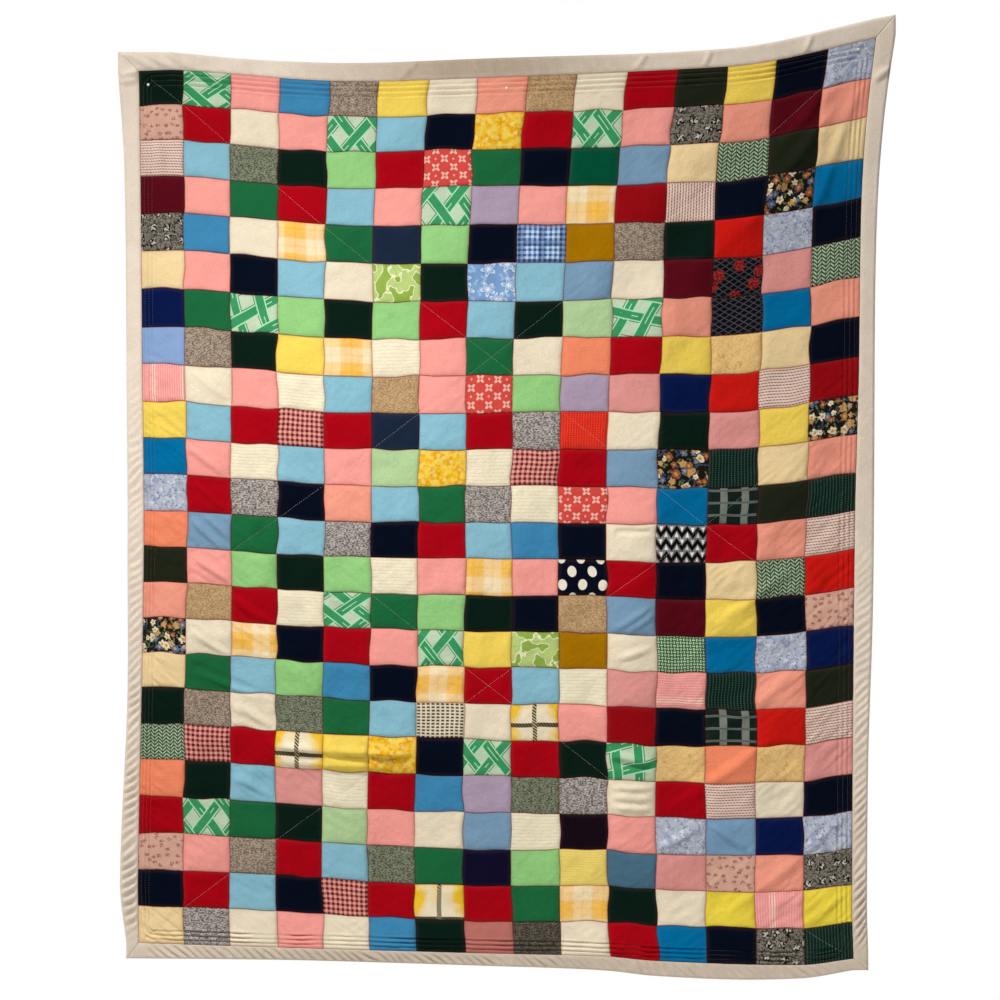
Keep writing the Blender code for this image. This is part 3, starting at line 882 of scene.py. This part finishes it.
cloth = Cloth("flower_print_yellow")
across, down, random = cloth.scatter(0.0330, 0.8)
bloom = cloth.petals(across, down, 5.0, 0.0165, 0.22, random[0] * 6.0)
tone = cloth.noise(0.0140, 2.0)
colour = cloth.mix(tone.rise(0.42, 0.62), "f8d860", "f0bc20")
colour = cloth.mix(bloom.rise(0.0, 0.15) * tone.rise(0.30, 0.60), colour, "eaa810")
fabrics["YF"] = cloth.finish(cloth.mix(bloom.rise(0.55, 0.7) * 0.6, colour, "fce690"))

cloth = Cloth("leaf_print_lime")
shape = cloth.noise(0.0290, 0.8)
ground = cloth.mix(shape.rise(0.50, 0.54), "94b650", "bcd684")
rim = (shape - 0.50).size().rise(0.034, 0.018)
vein = (cloth.noise(0.0300, 0.0) - 0.5).size().rise(0.014, 0.004)
colour = cloth.mix(rim, ground, "eef6cc")
fabrics["LF"] = cloth.finish(cloth.mix(vein * 0.45, colour, "7ca440"))

cloth = Cloth("flower_print_blue")
across, down, random = cloth.scatter(0.0420, 0.9)
bloom = cloth.petals(across, down, 5.0, 0.0200, 0.30, random[0] * 6.0)
leaf_u, leaf_v, leaf_random = cloth.scatter(0.0200, 1.0)
leaf = cloth.petals(leaf_u, leaf_v, 2.0, 0.0085, 0.40, leaf_random[1] * 6.0).rise(0.0, 0.12)
colour = cloth.mix(cloth.noise(0.0200, 1.0), "6c98d0", "88b0e4")
colour = cloth.mix(leaf * 0.6, colour, "b4d0f4")
colour = cloth.mix(bloom.rise(0.0, 0.08), colour, "d8e8fc")
colour = cloth.mix(bloom.rise(0.24, 0.32), colour, "94b8e8")
fabrics["UF"] = cloth.finish(cloth.mix(bloom.rise(0.60, 0.68), colour, "e8f2ff"))

cloth = Cloth("scribble_print_gold")
scribble = (cloth.noise(0.0200, 1.0) - 0.5).size().rise(0.022, 0.008)
second = (cloth.noise(0.0130, 0.0) - 0.46).size().rise(0.022, 0.008)
lines = scribble.math("MAXIMUM", second)
fabrics["PP"] = cloth.finish(cloth.mix(lines * 0.65, "f0cc8c", "cc9c58"))

# The backing: one plain off-white cloth, seen only from behind and in the edges.
cloth = Cloth("backing_cotton")
fabrics["backing"] = cloth.finish("ddd2bc", knit=0.0009)

# Which cloth each patch is cut from, row by row from the top left. A number after the code
# is the way the cloth was turned when the patch was cut, in degrees.
CHART = """
DG GL90 PK MB TB YL CR SP TT CR RD OL YL NV TF
PS RD CR PK GL LB NV YF RD GL PK BF SP MR SP
PD LB TE DG LG RD CF GR NV EM SB PY HG OL PY
MR PK GR RD LB PK GL LV PK YP DR PD90 NV NF BL
BF MB CR YP GR SN LG NV HB MG TB DG BR TF NV
PY PK NV LB CR LF DG UF LB SB CR MR LR DP HG
RN GR GL-22 LG DG LG RD LB DG PG GL-65 SP LK BL SP
PW TB DG YL YP CB PK GR CR OR RD YL PP PY NV
ST CR PK CB LB TT PK CF LG LV DP RN BR PD DR
YL LB RD HR RD SN LB RD TG RT CR DG DP YL NF
BL PK CB LB PK PG YF CB HR RD SB NF DD PY SP
TF RD TG NV SP LB GR TG CB CF PK BL WP OL DD
OR SB GR LB TG NV RD LB MB NV CR ZZ RD SP PD
OL PK LG DG LG CB PK YP PK DT RD NV PY HG BR
SP TT RD CB GL90 GR LG DG NV TT SB MR YL NV PS
NF CR YP NV RD PK GL YL LF MG CR GB BL TF RN
PY GR LB LG MB NV YP RD LB CB DP ST90 DD SP OL
DG TB CR TE GR LB BG CR YX PK DR NV WP BR PD
HG HR RD YX YL YF NV GL RD DG GL-35 PP OR PP DP
OR DG LB DP CB RD MB LV TE TG CR RD PD CR NV
RD GL GR DG PG PK CR SB CB BM PK TF SC RN TF
PS PK TB RD LB TE GR VN LG YR SK DP PS SP BF
NV RD LB NV HR RD YX RD GR YP DG CR YB ST YB
PY TG CR PK CR MB DG DQ TD CR RD BL NV BF DD
"""
# Cloths cut to show one part of their design: row, column, and its place in the patch.
CUT_TO_SHOW = {
    (17, 8): (0.50, 0.56),
    (18, 3): (0.46, 0.60),
    (22, 6): (0.50, 0.97),
    (4, 8): (0.50, 0.50),
    (12, 11): (0.20, 0.50),
    (13, 9): (0.50, 0.70),
}
chart = [line.split() for line in CHART.split("\n") if line]
PATCH_SQUARES = (28, 23)
EDGE_SQUARES = 60

strips = []
for row in range(ROWS):
    codes = chart[row]
    row_cloths = sorted({code[:2] for code in codes})
    row_choice = np.array([row_cloths.index(code[:2]) for code in codes])
    offsets = chance.uniform(0.2, 3.0, (COLUMNS, 2))
    turns = np.radians([float(code[2:] or 0) for code in codes])

    def lay_row(across, down, front, corners, column):
        """Places, cloth map and patch map of one row of patches."""
        place = across * COLUMNS
        which = np.clip(np.floor(place), 0, COLUMNS - 1)
        share_x = tighten(place - which)
        share_y = tighten(down)
        seam = np.arange(COLUMNS + 1)
        inner = (seam > 0) & (seam < COLUMNS)
        seam_stray = np.array([drift(COLUMN_DRIFTS, seam, row + part) * inner for part in (0, 1)])
        seam_stray += JOG[row]
        upper, lower = [
            np.interp(which + share_x, seam, seam * PATCH_WIDTH + stray) for stray in seam_stray
        ]
        x = upper + (lower - upper) * share_y
        near_y = (row + share_y) * PATCH_HEIGHT
        left_wave = unevenness(which * 0.37, near_y, 0.048) * (which > 0)
        right_wave = unevenness((which + 1) * 0.37, near_y, 0.048) * (which < COLUMNS - 1)
        x += SEAM_WAVE * (left_wave + (right_wave - left_wave) * share_x)
        column_at = x / PATCH_WIDTH
        top = row * PATCH_HEIGHT + drift(ROW_DRIFTS, column_at, row) * (row > 0)
        top += SEAM_WAVE * unevenness(x, row * 0.37, 0.052) * (row > 0)
        bottom = (row + 1) * PATCH_HEIGHT
        bottom += drift(ROW_DRIFTS, column_at, row + 1) * (row < ROWS - 1)
        bottom += SEAM_WAVE * unevenness(x, (row + 1) * 0.37, 0.052) * (row < ROWS - 1)
        y = top + (bottom - top) * share_y
        seam_x = np.minimum(share_x, 1 - share_x) * PATCH_WIDTH
        seam_y = np.minimum(share_y, 1 - share_y) * PATCH_HEIGHT
        thickness = face_height(x, y, seam_x, seam_y)
        places = on_wall(x, y, thickness, front)

        in_patch_x = (which + share_x)[corners] - column[:, None]
        in_patch_y = share_y[corners]
        patch = face_only(in_patch_x, in_patch_y, front, corners)
        pin_x, pin_y = offsets[column].T
        for (cut_row, cut_column), (show_x, show_y) in CUT_TO_SHOW.items():
            if cut_row == row:
                here = column == cut_column
                pin_x = np.where(here, -show_x * PATCH_WIDTH, pin_x)
                pin_y = np.where(here, show_y * PATCH_HEIGHT, pin_y)
        flat_x = in_patch_x * PATCH_WIDTH
        flat_y = -in_patch_y * PATCH_HEIGHT
        turn = turns[column][:, None]
        cloth_x = flat_x * np.cos(turn) + flat_y * np.sin(turn) + pin_x[:, None]
        cloth_y = flat_y * np.cos(turn) - flat_x * np.sin(turn) + pin_y[:, None]
        return places, np.stack((cloth_x, cloth_y), axis=-1), patch

    strip = quilted_strip(
        f"patch_row_{row + 1:02d}",
        False,
        [EDGE_SQUARES] + [PATCH_SQUARES[0]] * (COLUMNS - 2) + [EDGE_SQUARES],
        EDGE_SQUARES if row in (0, ROWS - 1) else PATCH_SQUARES[1],
        lay_row,
        (4, 4),
        [fabrics[code] for code in row_cloths] + [fabrics["backing"]],
        lambda column: row_choice[column],
    )
    strips.append(strip)
    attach(strip, "root")
    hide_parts("patchwork_panel")


# The border: four strips of plain cream cloth, mitred at the corners and folded over the quilt's
# edge, so that the outer edge is a soft rounded fold. Sewing it on drew it into small ripples.
BORDER_LENGTHS = 32
BORDER_SQUARES = (15, 22)
cloth = Cloth("border_cotton")
warp, weft = [(way * (2 * math.pi / 0.0011)).math("SINE") for way in (cloth.u, cloth.v)]
# Painted shade: the border's colour is darkened across the top middle, and towards the foot and its
# right side, standing in for shade that falls there.
top_middle_shade = (cloth.u - 0.80).size().rise(0.46, 0.08) * cloth.v.rise(0.02, -0.01)
low = cloth.v.rise(1.50, 2.16) * cloth.u.rise(-0.30, 0.50)
tone = cloth.mix(cloth.noise(0.120, 2.0), "fcf2e6", "f6e8d9")
tone = cloth.mix(top_middle_shade * 0.62, tone, "9c866c")
tone = cloth.mix(low * 0.34, tone, "a08f7c")
border_cloth = cloth.finish(tone, (warp + weft) * 0.3, knit=0.0011)

BORDERS = {
    # Edge, ripple height, ripple pitch, slant (along for each across), and the flat width, which
    # allows for how wide the strip hangs and for its ripples.
    "border_top": ("top", 0.0012, 0.034, 0.9, 0.046),
    "border_bottom": ("bottom", 0.0040, 0.024, -0.9, 0.038),
    "border_left": ("left", 0.0044, 0.023, -0.8, 0.040),
    "border_right": ("right", 0.0042, 0.022, 0.9, 0.043),
}
# How strongly a side border ripples as it goes down: at the top, then two steps up, each with
# its size, how fast it comes and how late.
RIPPLE_STEPS = {
    "left": (0.08, (0.50, 5.0, 1.4), (0.80, 3.0, 1.8)),
    "right": (0.05, (0.60, 6.0, 3.0), (0.60, 4.0, 2.8)),
}
BORDER_LOFT = 0.0030
SEAM_SHOULDER = 0.0026
HEM_ROUND = 0.0060
RIPPLE_FADE = 0.07
BORDER_CREASES = (
    (-0.30, 0.16, 0.05, 0.02, 0.0070, 0.0040),
    (-0.32, 0.34, 0.00, 0.22, 0.0070, 0.0030),
    (-0.25, -0.40, 0.30, -0.05, 0.0080, 0.0034),
    (0.10, -0.40, 0.75, -0.02, 0.0080, 0.0034),
    (0.55, -0.42, 1.15, -0.02, 0.0080, 0.0030),
    (13.60, -0.02, 13.75, -0.42, 0.0070, 0.0022),
    (10.20, -0.02, 10.45, -0.42, 0.0070, 0.0018),
    (11.60, -0.02, 11.72, -0.42, 0.0060, 0.0020),
    (5.40, -0.02, 5.80, -0.42, 0.0080, 0.0018),
    (15.02, 1.10, 15.33, 0.80, 0.0090, 0.0030),
)
for name, (edge, ripple_height, ripple_pitch, slant_along, cut_width) in BORDERS.items():
    def lay_border(across, down, front, corners, length_at):
        """Places, cloth map and patch map of one border strip."""
        wide = edge in ("top", "bottom")
        run = across if wide else down
        out = {"top": 1 - down, "bottom": down, "left": 1 - across, "right": across}[edge]
        out_share = tighten(out, 0.35)
        out_width = out_share * BORDER_WIDTH
        total = PANEL_WIDTH if wide else PANEL_LENGTH
        s = -out_width + run * (total + 2 * out_width)
        x = {"left": -out_width, "right": PANEL_WIDTH + out_width}.get(edge, s)
        y = {"top": -out_width, "bottom": PANEL_LENGTH + out_width}.get(edge, s)
        wander = unevenness(s, out_width, 0.060) * 0.012
        phase = (s + slant_along * out_width + wander) * (2 * math.pi / ripple_pitch)
        strength = 0.70 + 0.30 * unevenness(s, out_width * 0.2, 0.110)
        if edge in RIPPLE_STEPS:
            at_top, *steps = RIPPLE_STEPS[edge]
            strength = strength * (
                at_top + sum(size * ease(s / total * fast - late) for size, fast, late in steps)
            )
        strength = strength * ease(s / RIPPLE_FADE) * ease((total - s) / RIPPLE_FADE)
        arch = np.sin(math.pi * np.clip(out_share, 0, 1)) ** 0.7
        ripple = np.sin(phase + 0.6 * np.sin(phase)) * strength * arch
        shoulder = 1.0 - np.exp(-out_width / SEAM_SHOULDER)
        hem = np.sqrt(np.clip((BORDER_WIDTH - out_width) / HEM_ROUND, 0.0, 1.0) * 0.94 + 0.06)
        body = BORDER_LOFT + ripple_height * ripple + 0.0005 * unevenness(x, y, 0.025)
        body = np.maximum(body + CREASE_LIFT * ridge(x, y, BORDER_CREASES), 0.0)
        thickness = (CLOTH_AT_SEAM + body * shoulder) * hem
        places = on_wall(x, y, thickness, front)
        patch_y = np.clip(0.03 + out_width[corners] * 0.5 / BORDER_WIDTH, 0.0, 0.5)
        patch = face_only(np.full_like(patch_y, 0.5), patch_y, front, corners)
        return places, np.stack((x[corners], y[corners]), axis=-1), patch

    wide = edge in ("top", "bottom")
    strip = quilted_strip(
        name + "_cloth",
        not wide,
        [BORDER_SQUARES[0]] * BORDER_LENGTHS,
        BORDER_SQUARES[1],
        lay_border,
        (4, 9),
        [border_cloth, fabrics["backing"]],
        lambda length: np.zeros_like(length),
    )
    total = PANEL_WIDTH if wide else PANEL_LENGTH
    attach(strip, "root")
    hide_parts(name)
    total + 2 * cut_width
    (total + cut_width) * cut_width


# The stitching that shows on the face: pale thread along the four quilting lines and grey along
# the three tuck lines inside the edge. Each stitch is a short length of thread that dips into
# the cloth at both ends.
STITCH_PITCH = 0.0058
STITCH_LENGTH = 0.0036
THREAD_RADIUS = 0.00021
STITCH_DIPS = (-0.0002, 0.0004, -0.0002)
threads = {}
for name, pale, dark in (("thread_pale", "dccfc4", "c8bcb2"), ("thread_grey", "8c7c70", "74665c")):
    cloth = Cloth(name)
    ply = cloth.speckle(700.0, 1.0)
    threads[name] = cloth.coat(cloth.mix(ply, pale, dark), ply * 0.2 + 0.6)


def on_face(place, up):
    """How far off the wall the patchwork's face stands at a place on the wall."""
    for strip in strips:
        low, high = strip_reach[strip.name]
        if low <= up <= high:
            hit, point, normal, _ = strip.ray_cast((place, -0.5, up), (0.0, 1.0, 0.0))
            if hit and normal.y < 0.0:
                return -point.y
    return None


bpy.context.view_layer.update()
strip_reach = {
    strip.name: (min(c[2] for c in strip.bound_box), max(c[2] for c in strip.bound_box))
    for strip in strips
}


def sew(name, stitches, thread):
    """Stitches along flat paths, each a list of places across and down."""
    curve = bpy.data.curves.new(name, "CURVE")
    curve.dimensions = "3D"
    curve.bevel_depth = THREAD_RADIUS
    curve.bevel_resolution = 0
    curve.use_fill_caps = True
    for path_x, path_y in stitches:
        lengths = np.hypot(np.diff(path_x), np.diff(path_y))
        run = np.concatenate(((0.0,), np.cumsum(lengths)))
        starts = np.arange(STITCH_PITCH, run[-1] - STITCH_PITCH, STITCH_PITCH)
        at = starts[:, None] + np.array((0.0, 0.5, 1.0)) * STITCH_LENGTH
        x, y = np.interp(at, run, path_x), np.interp(at, run, path_y)
        wall_x, _, wall_up = hang(x, y)
        for place, up in zip(wall_x, wall_up):
            off = [on_face(*point) for point in zip(place, up)]
            if None in off:
                continue
            spline = curve.splines.new("POLY")
            spline.points.add(2)
            for index, dip in enumerate(STITCH_DIPS):
                spline.points[index].co = (place[index], -off[index] - dip, up[index], 1.0)
    drawn = add_object(name + "_drawn", curve)
    graph = bpy.context.evaluated_depsgraph_get()
    mesh = bpy.data.meshes.new_from_object(drawn.evaluated_get(graph))
    bpy.data.objects.remove(drawn)
    bpy.data.curves.remove(curve)
    mesh.name = name
    mesh.materials.clear()
    mesh.materials.append(threads[thread])
    piece = add_object(name, mesh)
    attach(piece, "root")


lines = []
for start_column, start_row, end_column, end_row in QUILTING_LINES:
    share = np.linspace(0.015, 0.985, 400)
    lines.append((
        (start_column + (end_column - start_column) * share) * PATCH_WIDTH,
        (start_row + (end_row - start_row) * share) * PATCH_HEIGHT,
    ))
sew("quilting_stitches", lines, "thread_pale")

rounds = []
for line in TUCK_LINES:
    left, right = line * TUCK_SPACING["left"], PANEL_WIDTH - line * TUCK_SPACING["right"]
    top, bottom = line * TUCK_SPACING["top"], PANEL_LENGTH - line * TUCK_SPACING["bottom"]
    path = []
    turn = TUCK_CORNER - line
    for x, y, start in ((right, top, -90), (right, bottom, 0), (left, bottom, 90), (left, top, 180)):
        wide = turn * TUCK_SPACING["right" if x == right else "left"]
        tall = turn * TUCK_SPACING["top" if y == top else "bottom"]
        middle_x = x - wide if x == right else x + wide
        middle_y = y + tall if y == top else y - tall
        for angle in np.radians(np.linspace(start, start + 90, 9)):
            path.append((middle_x + wide * np.cos(angle), middle_y + tall * np.sin(angle)))
    path.append(path[0])
    rounds.append(tuple(np.array(path).T))
sew("tuck_stitches", rounds, "thread_grey")


# The three pins that hold the quilt up: pressed steel with white enamel on the head.
cloth = Cloth("pin_enamel_white")
chips = cloth.speckle(900.0, 2.0)
colour = cloth.mix(chips.rise(0.62, 0.70) * 0.5, "f2f0ea", "a8a49c")
enamel = cloth.coat(colour, chips * 0.15 + 0.22)
for name, _, _ in PINS:
    for slot in bpy.data.objects[name].material_slots:
        slot.material = enamel

# The studio: a pale floor below the quilt, sun through a window at the upper left, a soft
# light in front and one behind, white all round, and the camera.
FLOOR_HEIGHT = -2.60
bm = bmesh.new()
bmesh.ops.create_grid(bm, x_segments=1, y_segments=1, size=2.4)
bmesh.ops.translate(bm, verts=bm.verts[:], vec=(0.0, -1.95, FLOOR_HEIGHT))
floor_mesh = bpy.data.meshes.new("floor")
bm.to_mesh(floor_mesh)
bm.free()
floor = add_object("floor", floor_mesh)
paint = bpy.data.materials.new("floor_paint")
paint.use_nodes = True
paint_shader = paint.node_tree.nodes["Principled BSDF"]
paint_shader.inputs["Base Color"].default_value = (0.85, 0.84, 0.82, 1.0)
paint_shader.inputs["Roughness"].default_value = 0.8
floor_mesh.materials.append(paint)


WARM_WHITE = (1.0, 0.95, 0.88)
NEAR_WHITE = (1.0, 0.97, 0.93)


def add_light(name, kind, power, colour, place, aim):
    """Adds a light at a place, turned towards what it is aimed at."""
    lamp = bpy.data.lights.new(name, kind)
    lamp.energy = power
    lamp.color = colour
    light = add_object(name, lamp)
    light.location = place
    direction = mathutils.Vector(aim) - mathutils.Vector(place)
    light.rotation_euler = direction.to_track_quat("-Z", "Y").to_euler()
    return lamp


sun = add_light("window_light", "SUN", 2.5, WARM_WHITE, (0.0, 0.0, 0.0), (0.34, 0.46, -0.80))
sun.angle = math.radians(9.0)
for name, side, power, colour, place, aim in (
    ("front_light", 0.5, 9.4, WARM_WHITE, (-0.60, -1.28, -0.53), (-0.26, 0.0, -0.74)),
    ("back_light", 1.6, 70.0, NEAR_WHITE, (0.9, 2.8, -0.2), (0.0, 0.0, -1.1)),
):
    lamp = add_light(name, "AREA", power, colour, place, aim)
    lamp.shape = "RECTANGLE"
    lamp.size, lamp.size_y = side, side

world = bpy.data.worlds.new("white_room")
world.use_nodes = True
nodes = world.node_tree.nodes
links = world.node_tree.links
room = nodes["Background"]
room.inputs["Color"].default_value = (1.0, 0.96, 0.91, 1.0)
room.inputs["Strength"].default_value = 0.11
wall = nodes.new("ShaderNodeBackground")
wall.inputs["Color"].default_value = (1.0, 1.0, 1.0, 1.0)
wall.inputs["Strength"].default_value = 1.0
path = nodes.new("ShaderNodeLightPath")
both = nodes.new("ShaderNodeMixShader")
links.new(path.outputs["Is Camera Ray"], both.inputs[0])
links.new(room.outputs[0], both.inputs[1])
links.new(wall.outputs[0], both.inputs[2])
links.new(both.outputs[0], nodes["World Output"].inputs["Surface"])
bpy.context.scene.world = world
bpy.context.scene.view_settings.view_transform = "Standard"

camera_data = bpy.data.cameras.new("camera")
camera_data.lens = 50.0
camera_data.sensor_width = 36.0
camera = add_object("camera", camera_data)
camera.location = (-0.0155, -3.32, -1.055)
camera.rotation_euler = (math.radians(90.0), 0.0, 0.0)
bpy.context.scene.camera = camera
